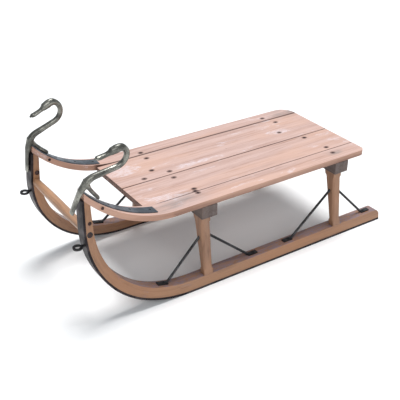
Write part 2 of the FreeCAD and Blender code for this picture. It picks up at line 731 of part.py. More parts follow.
def swan(label):
    """A cast swan on the left runner's top: a saddle over the shoe and strap, then neck, head and bill."""
    body = new_body(label)
    upright = cosine(Sizes.lean)

    saddle = sketch_on(body, "XZ_Plane", "saddle", -side_middle(TOE_LEVEL) - Sizes.toe_width / 2)
    rake_x = Sizes.toe_thickness * cosine(Sizes.front_rake)
    rake_z = Sizes.toe_thickness * sine(Sizes.front_rake)
    shoe_depth = Sizes.shoe_thickness
    strap_front, strap_level = front_meets_arc(shoe_depth, ARM_TOP_CENTRE, STRAP_TOP_RADIUS)
    lip_x = strap_front + shoe_depth * cosine(Sizes.front_rake)
    lip_z = strap_level + shoe_depth * sine(Sizes.front_rake)
    toe_x = front_at_level(0, TOE_LEVEL)
    leg_top_radius = STRAP_TOP_RADIUS - Sizes.toe_thickness
    chest_front = front_at_level(0, CHEST_LEVEL) + Sizes.toe_thickness
    draw(saddle, [
        (toe_x, TOE_LEVEL),
        (toe_x + rake_x, TOE_LEVEL + rake_z),
        (lip_x + rake_x, lip_z + rake_z),
        (chest_front - Sizes.toe_thickness, CHEST_LEVEL),
        (CHEST_BACK, CHEST_LEVEL),
        (CHEST_BACK, arc_level(CHEST_BACK, ARM_TOP_CENTRE, leg_top_radius), leg_top_radius, "right"),
        (LEG_REAR, arc_level(LEG_REAR, ARM_TOP_CENTRE, leg_top_radius)),
        (LEG_REAR, arc_level(LEG_REAR, ARM_TOP_CENTRE, STRAP_TOP_RADIUS), STRAP_TOP_RADIUS, "left"),
        (strap_front, strap_level),
        (lip_x, lip_z),
    ])
    pad(body, saddle, Sizes.track_width / 2)
    half = (Sizes.runner_thickness - Sizes.toe_width) / 2
    trim_to_side(body, half, Sizes.toe_width)

    path = sketch_on(body, "XZ_Plane", "neck", -side_middle(0), Sizes.lean)
    neck = bent_path(NECK_FOOT, NECK_FOOT_LEVEL / upright, Sizes.neck_foot_angle, [
        (Sizes.neck_straight,),
        (Sizes.chest_radius, Sizes.chest_angle, "left"),
        (Sizes.neck_run,),
        (Sizes.hook_radius, Sizes.hook_angle / 2, "right"),
        (Sizes.hook_radius, Sizes.hook_angle / 2, "right"),
    ])
    draw(path, neck, closed=False)
    sweep_round(body, path, Sizes.neck_radius, 5)

    head = sketch_on(body, "XZ_Plane", "head", -side_middle(0), Sizes.lean)
    start_x = neck[-1][0] - Sizes.head_back
    start_y = neck[-1][1] - Sizes.head_drop + Sizes.head_back * tangent(Sizes.head_angle)
    forward = cosine(Sizes.head_angle)
    down = sine(Sizes.head_angle)

    def on_head(along, off):
        return start_x + along * forward + off * down, start_y - along * down + off * forward

    bill_end = Sizes.head_length + Sizes.bill_length
    draw_axis(head, on_head(0, 0), on_head(bill_end, 0))
    draw(head, [
        (*on_head(0, 0), Sizes.head_curve, "right"),
        on_head(Sizes.head_length, Sizes.bill_base_radius),
        (*on_head(bill_end, Sizes.bill_tip_radius), Sizes.bill_tip_radius, "right"),
        on_head(bill_end + Sizes.bill_tip_radius, 0),
    ])
    DOCUMENT.recompute()
    turned = body.newObject("PartDesign::Revolution", f"{label}_turned")
    turned.Profile = head
    turned.ReferenceAxis = (head, ["Axis0"])
    turned.Angle = 360
    return body


def tip_over(body):
    """Tips a loose swan back and outwards over its leg's outer rear corner, slipped along the strap."""
    axis_x = -sine(Sizes.loose_way)
    axis_y = -cosine(Sizes.loose_way)
    corner_x = LEG_REAR
    corner_z = arc_level(corner_x, ARM_TOP_CENTRE, STRAP_TOP_RADIUS)
    corner_y = side_middle(corner_z) + Sizes.toe_width / 2
    new_x = corner_x + Sizes.loose_slip
    new_z = arc_level(new_x, ARM_TOP_CENTRE, STRAP_TOP_RADIUS)
    turned = cosine(Sizes.loose_tilt)
    lifted = sine(Sizes.loose_tilt)
    kept = (axis_x * corner_x + axis_y * corner_y) * (1 - turned)
    axis = Vector(axis_x.value, axis_y.value, 0)
    body.Placement = Placement(Vector(), Rotation(axis, Sizes.loose_tilt.value))
    bind(body, ".Placement.Rotation.Axis.x", axis_x)
    bind(body, ".Placement.Rotation.Axis.y", axis_y)
    bind(body, ".Placement.Rotation.Angle", Sizes.loose_tilt)
    bind(body, ".Placement.Base.x", new_x - corner_x * turned - axis_y * corner_z * lifted - axis_x * kept)
    bind(body, ".Placement.Base.y",
         corner_y + Sizes.loose_shift - corner_y * turned + axis_x * corner_z * lifted - axis_y * kept)
    bind(body, ".Placement.Base.z",
         new_z - corner_z * turned - (axis_x * corner_y - axis_y * corner_x) * lifted)


def deck():
    gap = Sizes.board_gap / 2
    left_seam = HALF_DECK - Sizes.left_rail_width
    right_seam = Sizes.right_rail_width - HALF_DECK
    left = side_rail("side_rail_left", Sizes.left_rail_width - gap, Sizes.left_corner_radius)
    right = side_rail("right_rail_pattern", Sizes.right_rail_width - gap, Sizes.right_corner_radius)
    return [
        left,
        mirrored(right, "side_rail_right"),
        centre_board("centre_board_left", Sizes.centre_seam + gap, left_seam - gap),
        centre_board("centre_board_right", right_seam + gap, Sizes.centre_seam - gap),
    ]


def swans():
    left = swan("swan_left")
    tip_over(left)
    return [left, mirrored(swan("right_swan_pattern"), "swan_right")]


def all_pieces():
    pieces = runner() + runner_shoe() + deck() + arm_strap()
    pieces += post("front_post", FRONT_POST) + post("rear_post", REAR_POST)
    pieces += [cross_beam("front_beam", FRONT_POST), cross_beam("rear_beam", REAR_POST)]
    pieces += brace("front_fore_brace", FRONT_POST, FRONT_POST + Sizes.front_fore_reach, 1, on_bend=True)
    pieces += brace("front_aft_brace", FRONT_POST, FRONT_POST - Sizes.front_aft_reach, -1)
    pieces += brace("rear_fore_brace", REAR_POST, REAR_POST + Sizes.rear_fore_reach, 1)
    pieces += brace("rear_aft_brace", REAR_POST, REAR_POST - Sizes.rear_aft_reach, -1)
    return pieces + front_rung() + rope_eye() + swans()


def check(pieces):
    """Stops if a feature failed or a piece is not one sound solid."""
    failed = [thing.Name for thing in DOCUMENT.Objects if {"Invalid", "Error"} & set(thing.State)]
    if failed:
        raise RuntimeError(f"features that failed: {failed}")
    for piece in pieces:
        shape = piece.Shape
        if shape.isNull() or not shape.isValid() or len(shape.Solids) != 1:
            raise RuntimeError(f"{piece.Label} is not one sound solid")


PIECES = all_pieces()
DOCUMENT.recompute()
check(PIECES)
os.makedirs("parts", exist_ok=True)
for finished in PIECES:
    finished.Shape.exportStep(f"parts/{finished.Label}.step")
    print(finished.Label, round(finished.Shape.Volume))
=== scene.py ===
"""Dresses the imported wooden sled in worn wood, dark iron and cast swans, with floor, light and camera."""

import math

import bmesh
import bpy
from mathutils import Euler, Matrix, Vector


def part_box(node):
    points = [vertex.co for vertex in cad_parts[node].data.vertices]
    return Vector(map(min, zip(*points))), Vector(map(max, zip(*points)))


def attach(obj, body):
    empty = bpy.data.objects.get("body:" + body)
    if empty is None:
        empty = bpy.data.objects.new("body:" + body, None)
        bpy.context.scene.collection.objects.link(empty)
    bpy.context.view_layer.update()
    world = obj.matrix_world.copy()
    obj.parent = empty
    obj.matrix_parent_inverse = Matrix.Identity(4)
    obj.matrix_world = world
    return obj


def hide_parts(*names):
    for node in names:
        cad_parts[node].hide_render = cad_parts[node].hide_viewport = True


bl_info = {
    "name": "Antique Wooden Sled",
    "version": (1, 0, 0),
    "blender": (4, 5, 0),
    "location": "View3D > Sidebar > Sled",
    "description": "Builds the finished look of an antique sled with cast swans",
    "category": "Object",
}

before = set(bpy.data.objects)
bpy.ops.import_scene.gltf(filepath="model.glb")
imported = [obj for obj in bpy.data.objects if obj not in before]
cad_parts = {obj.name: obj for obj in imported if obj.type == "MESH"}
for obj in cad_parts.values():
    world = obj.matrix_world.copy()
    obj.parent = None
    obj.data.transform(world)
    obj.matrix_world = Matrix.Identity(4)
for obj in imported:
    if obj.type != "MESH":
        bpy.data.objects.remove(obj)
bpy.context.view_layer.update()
MM = 0.001
SIDES = (("left", 1), ("right", -1))

# The sled's own sizes, in metres and radians, as the frame has them.
LEAN = math.radians(6.8)
TRACK_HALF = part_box("runner_left")[1].y
RUNNER_THICKNESS = 33 * MM
SIDE_MIDDLE = TRACK_HALF - RUNNER_THICKNESS / 2
DECK_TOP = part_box("centre_board_left")[1].z
SOLE_CENTRE = Vector((224 * MM, 0, 252 * MM))
SOLE_RADIUS = 245 * MM
ARM_START = 223 * MM
ARM_RADIUS = 310 * MM
STRAP_RADIUS = 307 * MM
ARM_CENTRE_Z = DECK_TOP + ARM_RADIUS
RUNNER_TOP = 34 * MM
DECK_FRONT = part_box("centre_board_left")[1].x
DECK_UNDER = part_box("centre_board_left")[0].z

# The seams between the boards: (distance from the middle, how far the dirt reaches to each side).
SEAMS = (
    (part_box("centre_board_left")[1].y, 1.9 * MM),
    (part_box("centre_board_left")[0].y, 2.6 * MM),
    (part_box("centre_board_right")[0].y, 5.0 * MM),
)

# Places on the deck in millimetres: nails (x, y), then old paint and damp stains (x, y, radius).
DECK_NAILS = (
    (139, -144), (142, -106), (129, -6), (138, 30), (127, 110), (131, 122), (130, 133), (208, -5),
    (167, -36), (-300, -150), (-317, -106), (-279, -41), (-319, 27), (-330, 110), (-322, 146),
)
NAIL_STAIN_RADIUS = 11
DECK_CHIPS = ((-279, -41, 22), (14, -9, 20), (68, -14, 28), (205, 112, 46), (-134, 167, 26), (232, -70, 44))
DECK_STAINS = ((160, 143, 40), (222, 150, 34), (262, 158, 30), (-392, -150, 46), (-330, 150, 22))

# Bolts seen from the side, as (x, z): through the runner's top, the rung's end, and the arm.
TOP_BOLT = (452 * MM, 281 * MM)
RUNG_BOLT = (455 * MM, 253 * MM)
ARM_BOLT = (418 * MM, 312 * MM)

# The strap's screws stand along its middle, which closes in on the middle plane as it goes forward.
STRAP_SCREWS = (284 * MM, 338 * MM, 392 * MM)
STRAP_MIDDLE = 152 * MM
STRAP_CLOSING = 0.06

# The braces' feet: where the screw is from the foot's end, and how thick the foot is.
FOOT_SCREW = 9 * MM
FOOT_THICKNESS = 4 * MM

# The loose swan has tipped over its leg's outer rear corner, and that has crept forward and outwards.
LEG_REAR = 415 * MM
HALF_TOE = 8.5 * MM
CREEP_FORWARD = 6 * MM
CREEP_OUT = 4 * MM
TIP = math.radians(25)
TIP_WAY = math.radians(62)

# Cuts across a piece, which the grain and the dirty and painted-shade darkening follow: from, to and how
# far apart.
RUNNER_CUTS = (-490 * MM, SOLE_CENTRE.x, 30 * MM)
ARM_CUTS = (ARM_START, 450 * MM, 12 * MM)
BOARD_CUTS = (-400 * MM, 270 * MM, 50 * MM)
BEND_FACET = 12 * MM
BEND_SWEEP = math.pi / 2 + 0.5

# How far the posts' chamfers stop from their feet and from their heads.
CHAMFER_STOPS = (18 * MM, 16 * MM)

# The camera stands at this place and looks down and this way round, with a little roll.
CAMERA_PLACE = (1.077, 1.523, 1.196)
CAMERA_DOWN = math.radians(29.91)
CAMERA_WAY = math.radians(-124.45)
CAMERA_ROLL = math.radians(0.91)
CAMERA_LENS_MM = 67.88
FLOOR_REACH = 12.0


def rail_sides(reach):
    """How far out the rails' inner and outer sides are, at a distance from the origin along X."""
    points = [point.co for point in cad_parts["side_rail_left"].data.vertices]
    near = [point.y for point in points if abs(point.x - reach) < 15 * MM]
    return min(near), max(near)


def strap_level(x, above=0.0):
    """How high the strap's top is at x, or a line that runs above it."""
    return ARM_CENTRE_Z - math.sqrt((STRAP_RADIUS - above) ** 2 - (x - ARM_START) ** 2)


def side_face(level):
    """Distance from the middle plane to the side's leaning outer face."""
    return TRACK_HALF - math.tan(LEAN) * level


def side_middle(level):
    """Distance from the middle plane to the middle of the leaning side's thickness."""
    return SIDE_MIDDLE - math.tan(LEAN) * level


def linear(hex_colour):
    """An sRGB hex colour as linear red, green, blue and full opacity."""
    channels = [int(hex_colour[start:start + 2], 16) / 255 for start in (1, 3, 5)]
    # The numbers are those of the sRGB standard's curve.
    curved = [c / 12.92 if c <= 0.04045 else ((c + 0.055) / 1.055) ** 2.4 for c in channels]
    return (*curved, 1.0)


# What a user may change

def colour_setting(name, description, hex_colour):
    return bpy.props.FloatVectorProperty(
        name=name, description=description, default=linear(hex_colour),
        subtype="COLOR", size=4, min=0, max=1)


def length_setting(name, description, millimetres):
    return bpy.props.FloatProperty(
        name=name, description=description, default=millimetres * MM, min=0, unit="LENGTH", precision=4)


class SledColours(bpy.types.PropertyGroup):
    deck: colour_setting("Deck", "Scrubbed pine of the deck", "#c9aba2")
    deck_dark: colour_setting("Deck Grain", "Late wood and dirt in the deck", "#8f6656")
    deck_paint: colour_setting("Old Paint", "Pale paint left in the deck's pores", "#dfd6dc")
    # Painted shade: the deck's sideways faces take this darker, browner colour because of the way they
    # face.
    deck_side: colour_setting("Deck Sides", "Browner wood on the deck's edges and sides", "#a67d68")
    deck_stain: colour_setting("Deck Stain", "Grey where damp has got into the deck", "#87807f")
    ash: colour_setting("Ash", "Varnished ash of the runners", "#9c7355")
    ash_dark: colour_setting("Ash Grain", "Dark grain of the runners", "#63463a")
    runner_paint: colour_setting("Runner Paint", "Lavender-grey paint left on the runners", "#747389")
    post: colour_setting("Posts", "Oiled beech of the posts", "#96725a")
    post_dark: colour_setting("Post Grain", "Dark grain of the posts", "#5d4234")
    beam: colour_setting("Beams", "Grimy wood of the cross beams", "#635652")
    beam_dark: colour_setting("Beam Grain", "Dark grain of the beams", "#3f322e")
    shoe: colour_setting("Shoes", "Dark iron of the runner shoes", "#262124")
    strap: colour_setting("Straps", "Blue-grey iron of the arm straps", "#5b6168")
    brace: colour_setting("Braces", "Black iron of the braces", "#2e2e30")
    swan: colour_setting("Swans", "Grey cast iron of the swans", "#5c5c57")
    swan_rub: colour_setting("Rubbed Iron", "Cast iron rubbed bright", "#96958c")


class SledSizes(bpy.types.PropertyGroup):
    wood_edge: length_setting("Wood Edge", "Rounding of worn wooden edges", 1.8)
    iron_edge: length_setting("Iron Edge", "Rounding of iron edges", 0.8)
    chamfer: length_setting("Post Chamfer", "Stopped chamfer on the posts", 5)
    nail: length_setting("Nail", "Radius of a nail's head in the deck", 4.6)
    bolt: length_setting("Bolt", "Radius of a bolt's head", 5)
    washer: length_setting("Washer", "Radius of a washer", 8.5)
    casting: length_setting("Casting Detail", "Fineness of the swans' surface", 1.1)


# Shader tools

def add(tree, kind, inputs=(), **settings):
    """Adds a node with its settings and links."""
    made = tree.nodes.new(kind)
    for name, value in settings.items():
        setattr(made, name, value)
    for name, value in dict(inputs).items():
        if isinstance(value, bpy.types.NodeSocket):
            tree.links.new(value, made.inputs[name])
        else:
            made.inputs[name].default_value = value
    return made


def new_material(name):
    material = bpy.data.materials.new(name)
    material.use_nodes = True
    tree = material.node_tree
    tree.nodes.clear()
    surface = add(tree, "ShaderNodeBsdfPrincipled")
    add(tree, "ShaderNodeOutputMaterial", {"Surface": surface.outputs["BSDF"]})
    return material, tree, surface


def patterns(tree, vector, table):
    """Noise patterns, from name: (scale along each axis, detail, roughness, distortion)."""
    made = {}
    for name, (scale, detail, roughness, distortion) in table.items():
        mapped = add(tree, "ShaderNodeMapping", {"Vector": vector, "Scale": scale})
        made[name] = add(tree, "ShaderNodeTexNoise", {
            "Vector": mapped.outputs["Vector"], "Scale": 1.0, "Detail": detail, "Roughness": roughness,
            "Distortion": distortion,
        }).outputs["Fac"]
    return made


def masks(tree, table):
    """Smooth steps cut from values, from name: (value, step's foot, step's top, least, most)."""
    made = {}
    for name, (value, foot, top, least, most) in table.items():
        made[name] = add(tree, "ShaderNodeMapRange", {
            "Value": value, "From Min": foot, "From Max": top, "To Min": least, "To Max": most,
        }, interpolation_type="SMOOTHSTEP").outputs["Result"]
    return made


def combined(tree, operation, *values):
    """Values put together one after the other by the same operation."""
    total = values[0]
    for value in values[1:]:
        total = add(tree, "ShaderNodeMath", {0: total, 1: value}, operation=operation).outputs[0]
    return total


def layered(tree, base, layers):
    """Colours laid over a base one after the other, from (mask, colour)."""
    for mask, colour in layers:
        base = add(tree, "ShaderNodeMix", {0: mask, 6: base, 7: colour}, data_type="RGBA").outputs[2]
    return base


def near_spots(tree, place, spots, stretch=2.0):
    """1 in the middle of each spot on the deck, fading to 0 at its radius, stretched along the boards."""
    squeezed = add(tree, "ShaderNodeMapping", {"Vector": place, "Scale": (1 / stretch, 1.0, 1.0)})
    fades = {}
    for x, y, radius in spots:
        reach = add(tree, "ShaderNodeVectorMath", {
            0: squeezed.outputs["Vector"], 1: (x * MM / stretch, y * MM, DECK_TOP)}, operation="DISTANCE")
        fades[x, y] = (reach.outputs["Value"], 0.0, radius * MM, 1.0, 0.0)
    return combined(tree, "MAXIMUM", *masks(tree, fades).values())


def tinted(colour, gains):
    """A colour with its red, green and blue multiplied."""
    return (*(min(1.0, channel * gain) for channel, gain in zip(colour, gains)), 1.0)


def wood(name, light, dark, paint, *, cover, roughness, ring_mm, ring_show, top_cover=0.0,
         side=None, chips=(), stains=(), damp=None, nails=()):
    """Old sawn wood: rings ring_mm apart and long fibres along the grain, with paint left in patches.

    Scrubbing has raised the grain and left it matt, so the fibres show in colour and in relief. Paint is
    left more on faces that look up, by top_cover, and around the chips. The stains are of the damp colour,
    and iron has blackened the wood around the nails. Sideways faces take the side colour as painted shade.
    """
    material, tree, surface = new_material(name)
    grain = add(tree, "ShaderNodeAttribute", attribute_name="grain").outputs["Vector"]
    grime = add(tree, "ShaderNodeAttribute", attribute_name="grime").outputs["Fac"]
    coordinates = add(tree, "ShaderNodeTexCoord").outputs
    place = coordinates["Object"]
    upward = add(tree, "ShaderNodeSeparateXYZ", {0: coordinates["Normal"]}).outputs["Z"]
    drawn_out = add(tree, "ShaderNodeMapping", {"Vector": grain, "Scale": (0.12, 1.0, 0.35)})
    # A wave texture has about 20 bands a metre at scale 1.
    rings = add(tree, "ShaderNodeTexWave", {
        "Vector": drawn_out.outputs["Vector"], "Scale": 1 / (ring_mm * MM * 20),
        "Distortion": 4.0, "Detail": 3.0, "Detail Scale": 0.9, "Detail Roughness": 0.6,
    }, wave_type="BANDS", bands_direction="Y").outputs["Fac"]
    # Real fibres are a tenth of a millimetre wide; these are drawn about a millimetre wide to show.
    pattern = patterns(tree, grain, {
        "drift": ((3.0, 14.0, 14.0), 3.0, 0.55, 0.0),
        "fibre": ((22.0, 900.0, 900.0), 3.0, 0.7, 0.0),
        "streak": ((6.0, 150.0, 150.0), 5.0, 0.65, 0.6),
        "patch": ((9.0, 30.0, 30.0), 8.0, 0.68, 0.8),
        "speckle": ((60.0, 160.0, 160.0), 4.0, 0.7, 0.0),
    })
    pattern |= patterns(tree, place, {"soot": ((45.0, 45.0, 45.0), 6.0, 0.7, 0.0)})
    mask = masks(tree, {
        "rings": (rings, 0.35, 1.0, 0.0, ring_show),
        "streaks": (pattern["streak"], 0.42, 0.75, 0.0, 0.5),
        "fibres": (pattern["fibre"], 0.45, 0.8, 0.0, 0.35),
        "drift": (pattern["drift"], 0.4, 0.7, 0.0, 0.55),
        "lit top over side shade": (upward, 0.2, 0.72, 0.0, 1.0),
        "top paint": (upward, 0.4, 0.9, 0.0, top_cover),
        "speckle": (pattern["speckle"], 0.36, 0.56, 0.0, 1.0),
        "pores": (pattern["fibre"], 0.3, 0.62, 1.0, 0.35),
        "soot": (pattern["soot"], 0.66, 0.8, 0.0, 0.55),
        "streaked darkening": (pattern["streak"], 0.3, 0.7, 0.65, 1.0),
        "damp streaks": (pattern["streak"], 0.3, 0.6, 0.4, 1.0),
        "roughness": (pattern["streak"], 0.3, 0.7, roughness - 0.08, roughness + 0.1),
    })
    patch = combined(tree, "ADD", pattern["patch"], mask["top paint"])
    if chips:
        near = near_spots(tree, place, chips)
        patch = combined(tree, "ADD", patch, combined(tree, "MULTIPLY", near, 0.2))
    mask |= masks(tree, {
        "flakes": (patch, 0.62 - cover, 0.72 - cover, 0.0, 1.0),
        "damp": (patch, 0.3, 0.7, 0.1, 1.0),
    })
    soot = tinted(dark, (0.22, 0.17, 0.16))
    layers = [
        (combined(tree, "ADD", mask["rings"], mask["streaks"], mask["fibres"]), dark),
        (mask["drift"], tinted(light, (1.08, 0.95, 0.8))),
        (combined(tree, "MULTIPLY", mask["flakes"], mask["speckle"], mask["pores"], 0.85), paint),
    ]
    if stains:
        near = near_spots(tree, place, stains)
        layers.append((combined(tree, "MULTIPLY", near, mask["damp"], mask["damp streaks"]), damp))
    # This dark colour lays dirty seams and front ends on the deck, and painted shade under its boards and
    # down their sides.
    layers += [(mask["soot"], soot), (combined(tree, "MULTIPLY", grime, mask["streaked darkening"]), soot)]
    if nails:
        near = near_spots(tree, place, [(x, y, NAIL_STAIN_RADIUS) for x, y in nails], 1.3)
        layers.append((masks(tree, {"blackened": (near, 0.1, 0.7, 0.0, 0.8)})["blackened"], soot))
    # Painted shade: faces that look sideways take the side colour, and faces that look up take the light
    # one.
    base = layered(tree, side, [(mask["lit top over side shade"], light)]) if side else light
    tree.links.new(layered(tree, base, layers), surface.inputs["Base Color"])
    tree.links.new(mask["roughness"], surface.inputs["Roughness"])
    relief = add(tree, "ShaderNodeBump", {
        "Height": combined(tree, "ADD", pattern["fibre"], pattern["streak"]), "Strength": 0.35,
        "Distance": 0.6 * MM})
    tree.links.new(relief.outputs["Normal"], surface.inputs["Normal"])
    surface.inputs["IOR"].default_value = 1.5
    return material


def iron(name, base, rubbed, *, roughness, grit_mm, rust):
    """Old iron: pitted by grit_mm, bright where it is rubbed, with brown rust in the hollows."""
    material, tree, surface = new_material(name)
    place = add(tree, "ShaderNodeTexCoord").outputs["Object"]
    # A noise texture's grains are about a quarter of a metre wide at scale 1.
    fineness = 1 / (grit_mm * MM * 4)
    pattern = patterns(tree, place, {
        "grit": ((fineness, fineness, fineness), 5.0, 0.6, 0.0),
        "cloud": ((28.0, 28.0, 28.0), 5.0, 0.6, 0.0),
        "rust": ((60.0, 60.0, 60.0), 6.0, 0.7, 0.0),
    })
    mask = masks(tree, {
        "rubbed": (pattern["cloud"], 0.4, 0.68, 0.0, 1.0),
        "pits": (pattern["grit"], 0.5, 0.72, 0.0, 0.6),
        "rust": (pattern["rust"], 0.58, 0.74, 0.0, rust),
        "roughness": (pattern["cloud"], 0.3, 0.7, roughness + 0.12, roughness - 0.05),
    })
    colour = layered(tree, base, [
        (mask["rubbed"], rubbed),
        (mask["pits"], tinted(base, (0.45, 0.45, 0.45))),
        (mask["rust"], linear("#5a3423")),
    ])
    tree.links.new(colour, surface.inputs["Base Color"])
    surface.inputs["Metallic"].default_value = 0.75
    tree.links.new(mask["roughness"], surface.inputs["Roughness"])
    relief = add(tree, "ShaderNodeBump", {"Height": pattern["grit"], "Strength": 0.4, "Distance": 0.4 * MM})
    tree.links.new(relief.outputs["Normal"], surface.inputs["Normal"])
    return material


# Finishes, one for each material slot

def deck_wood(name, tone):
    """Pine scrubbed pale, its old lilac-white paint worn down into the pores."""
    # The deck's sideways faces take the side colour as painted shade.
    return wood(name, tone["deck"], tone["deck_dark"], tone["deck_paint"],
                cover=0.06, roughness=0.62, ring_mm=7.0, ring_show=0.16, side=tone["deck_side"],
                chips=DECK_CHIPS, stains=DECK_STAINS, damp=tone["deck_stain"], nails=DECK_NAILS)


def runner_wood(name, tone):
    """Steam-bent ash under old orange varnish, with lavender-grey paint left on top."""
    return wood(name, tone["ash"], tone["ash_dark"], tone["runner_paint"],
                cover=0.0, top_cover=0.42, roughness=0.45, ring_mm=5.0, ring_show=0.25)


def post_wood(name, tone):
    """Oiled beech, brown and close-grained."""
    return wood(name, tone["post"], tone["post_dark"], tone["runner_paint"],
                cover=-0.02, roughness=0.48, ring_mm=4.0, ring_show=0.3)


def rung_wood(name, tone):
    """Turned ash, rubbed smooth and pale by feet."""
    return wood(name, linear("#b48d70"), tone["ash_dark"], tone["runner_paint"],
                cover=-0.05, roughness=0.4, ring_mm=4.0, ring_show=0.25)


def beam_wood(name, tone):
    """Rough sawn beam, grey and dirty."""
    return wood(name, tone["beam"], tone["beam_dark"], tone["runner_paint"],
                cover=0.03, roughness=0.65, ring_mm=6.0, ring_show=0.3)


def shoe_iron(name, tone):
    """Flat iron bar, nearly black, polished only where it met the snow."""
    return iron(name, tone["shoe"], linear("#443c3d"), roughness=0.46, grit_mm=1.2, rust=0.5)


def strap_iron(name, tone):
    """Thin rolled iron with a blue-grey bloom."""
    return iron(name, tone["strap"], linear("#7c838c"), roughness=0.4, grit_mm=1.0, rust=0.3)


def brace_iron(name, tone):
    """Drawn iron rod, painted black long ago."""
    return iron(name, tone["brace"], linear("#4a4a4c"), roughness=0.4, grit_mm=1.0, rust=0.4)


def swan_iron(name, tone):
    """Sand-cast iron, grainy and pewter grey, rubbed on its high places."""
    return iron(name, tone["swan"], tone["swan_rub"], roughness=0.27, grit_mm=1.6, rust=0.15)


def nail_iron(name, tone):
    """Old wire nails, as dark as the shoes and gone brown."""
    return iron(name, linear("#38292a"), linear("#5b4844"), roughness=0.5, grit_mm=0.8, rust=0.6)


FINISHES = {finish.__name__: finish for finish in (
    deck_wood, runner_wood, post_wood, rung_wood, beam_wood,
    shoe_iron, strap_iron, brace_iron, swan_iron, nail_iron,
)}


def material_of(slot):
    """The finish for a material slot, made once."""
    name = f"sled_{slot}"
    made = bpy.data.materials.get(name)
    if made:
        return made
    colours = bpy.context.scene.sled_colours
    tone = {key: tuple(getattr(colours, key)) for key in colours.__annotations__}
    return FINISHES[slot](name, tone)


# Mesh tools

def finished(name, mesh, slot, replaced=()):
    """Links a mesh as a piece of the sled, with the finish of its slot, in place of the parts it replaces.
    """
    piece = bpy.data.objects.new(name, mesh)
    bpy.context.scene.collection.objects.link(piece)
    mesh.materials.clear()
    mesh.materials.append(material_of(slot))
    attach(piece, "root")
    if replaced:
        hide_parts(*replaced)
    return piece


def applied(thing):
    """A plain mesh of a thing with its modifiers, which are then gone."""
    bpy.context.view_layer.update()
    evaluated = thing.evaluated_get(bpy.context.evaluated_depsgraph_get())
    mesh = bpy.data.meshes.new_from_object(evaluated)
    bpy.data.objects.remove(thing)
    return mesh


def smoothed(shape, name, sharp_angle=math.radians(38)):
    """Writes the shape to a mesh, shaded by its large faces."""
    mesh = bpy.data.meshes.new(name)
    shape.to_mesh(mesh)
    shape.free()
    mesh.shade_smooth()
    mesh.set_sharp_from_angle(angle=sharp_angle)
    thing = bpy.data.objects.new(name, mesh)
    bpy.context.scene.collection.objects.link(thing)
    weighting = thing.modifiers.new("by_area", "WEIGHTED_NORMAL")
    weighting.keep_sharp = True
    return applied(thing)


def merged_copy(node):
    shape = bmesh.new()
    shape.from_mesh(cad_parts[node].data)
    bmesh.ops.remove_doubles(shape, verts=shape.verts, dist=1e-6)
    bmesh.ops.dissolve_limit(shape, angle_limit=math.radians(0.4), verts=shape.verts, edges=shape.edges)
    return shape


def cut_by(shape, planes):
    for point, normal in planes:
        parts = shape.verts[:] + shape.edges[:] + shape.faces[:]
        bmesh.ops.bisect_plane(shape, geom=parts, plane_co=point, plane_no=normal, dist=1e-7)


def round_edges(shape, width, segments=2, chosen=None):
    least = math.radians(32)
    sharp = [edge for edge in shape.edges if edge.is_manifold and edge.calc_face_angle(0) > least]
    if chosen:
        sharp = [edge for edge in sharp if chosen(edge)]
    bmesh.ops.bevel(shape, geom=sharp, offset=width, segments=segments, profile=0.5,
                    affect="EDGES", clamp_overlap=True)


def climbs_between(edge, low, high):
    """Whether an edge runs up a post's side without passing the two levels."""
    foot, head = sorted(point.co.z for point in edge.verts)
    return foot > low - MM and head < high + MM and head - foot > 20 * MM


def lay_grain(shape, along, shift, dirt_and_shade=None):
    """Stores where each point lies along, across and into the wood, and how much dirty patches and painted
    shade darken it.
    """
    grain = shape.verts.layers.float_vector.new("grain")
    grime = shape.verts.layers.float.new("grime")
    for point in shape.verts:
        point[grain] = along(point.co) + shift
        point[grime] = dirt_and_shade(point.co) if dirt_and_shade else 0.0


def worn_piece(node, slot, width, along=None, planes=(), shift=(0, 0, 0), dirt_and_shade=None):
    """A copy of a CAD node with worn edges."""
    shape = merged_copy(node)
    cut_by(shape, planes)
    round_edges(shape, width)
    lay_grain(shape, along or Vector, Vector(shift), dirt_and_shade)
    return finished(f"{node}_worn", smoothed(shape, f"{node}_worn"), slot, [node])


def along_runner(point):
    """Unrolls the runner's front bend, so that the grain follows it."""
    out = point - SOLE_CENTRE
    if point.x < SOLE_CENTRE.x:
        return Vector((point.x, point.y, point.z))
    angle = math.atan2(out.x, -out.z)
    reach = math.hypot(out.x, out.z)
    return Vector((SOLE_CENTRE.x + angle * SOLE_RADIUS, point.y, SOLE_RADIUS - reach))


def along_arm(point):
    """Unrolls a rail's upward arm."""
    if point.x < ARM_START:
        return Vector(point)
    angle = math.atan2(point.x - ARM_START, ARM_CENTRE_Z - point.z)
    reach = math.hypot(point.x - ARM_START, ARM_CENTRE_Z - point.z)
    return Vector((ARM_START + angle * ARM_RADIUS, point.y, ARM_CENTRE_Z - reach))


def upright_grain(point):
    return Vector((point.z, point.y, point.x))


def crossing_grain(point):
    return Vector((point.y, point.x, point.z))


def deck_grime_and_shade(point):
    """Dirt packed in the seams between boards and on their front ends; under them it is partly painted
    shade, which also darkens their sides towards the bottom.
    """
    if point.x > DECK_FRONT + MM:
        return 0.0
    if any(abs(point.y - seam) < reach - 0.2 * MM for seam, reach in SEAMS):
        return 1.0
    if point.z > DECK_TOP - 0.4 * MM:
        return 0.0
    if DECK_FRONT - point.x < 0.7 * MM and SEAMS[2][0] < point.y < SEAMS[0][0]:
        return 0.95
    # Under the boards: partly dirty wood, partly painted shade, which also darkens their sides towards the
    # bottom.
    return 0.6 if point.z < DECK_UNDER + 0.4 * MM else 0.0


def seam_cuts():
    """Planes where each seam's dirty band ends."""
    edges = [seam + side * reach for seam, reach in SEAMS for side in (-1, 1)]
    return [(Vector((0, y, 0)), Vector((0, 1, 0))) for y in edges]


def steps(start, end, size):
    count = max(1, round((end - start) / size))
    return [start + (end - start) * number / count for number in range(count + 1)]


def straight_cuts(start, end, size):
    return [(Vector((x, 0, 0)), Vector((1, 0, 0))) for x in steps(start, end, size)]


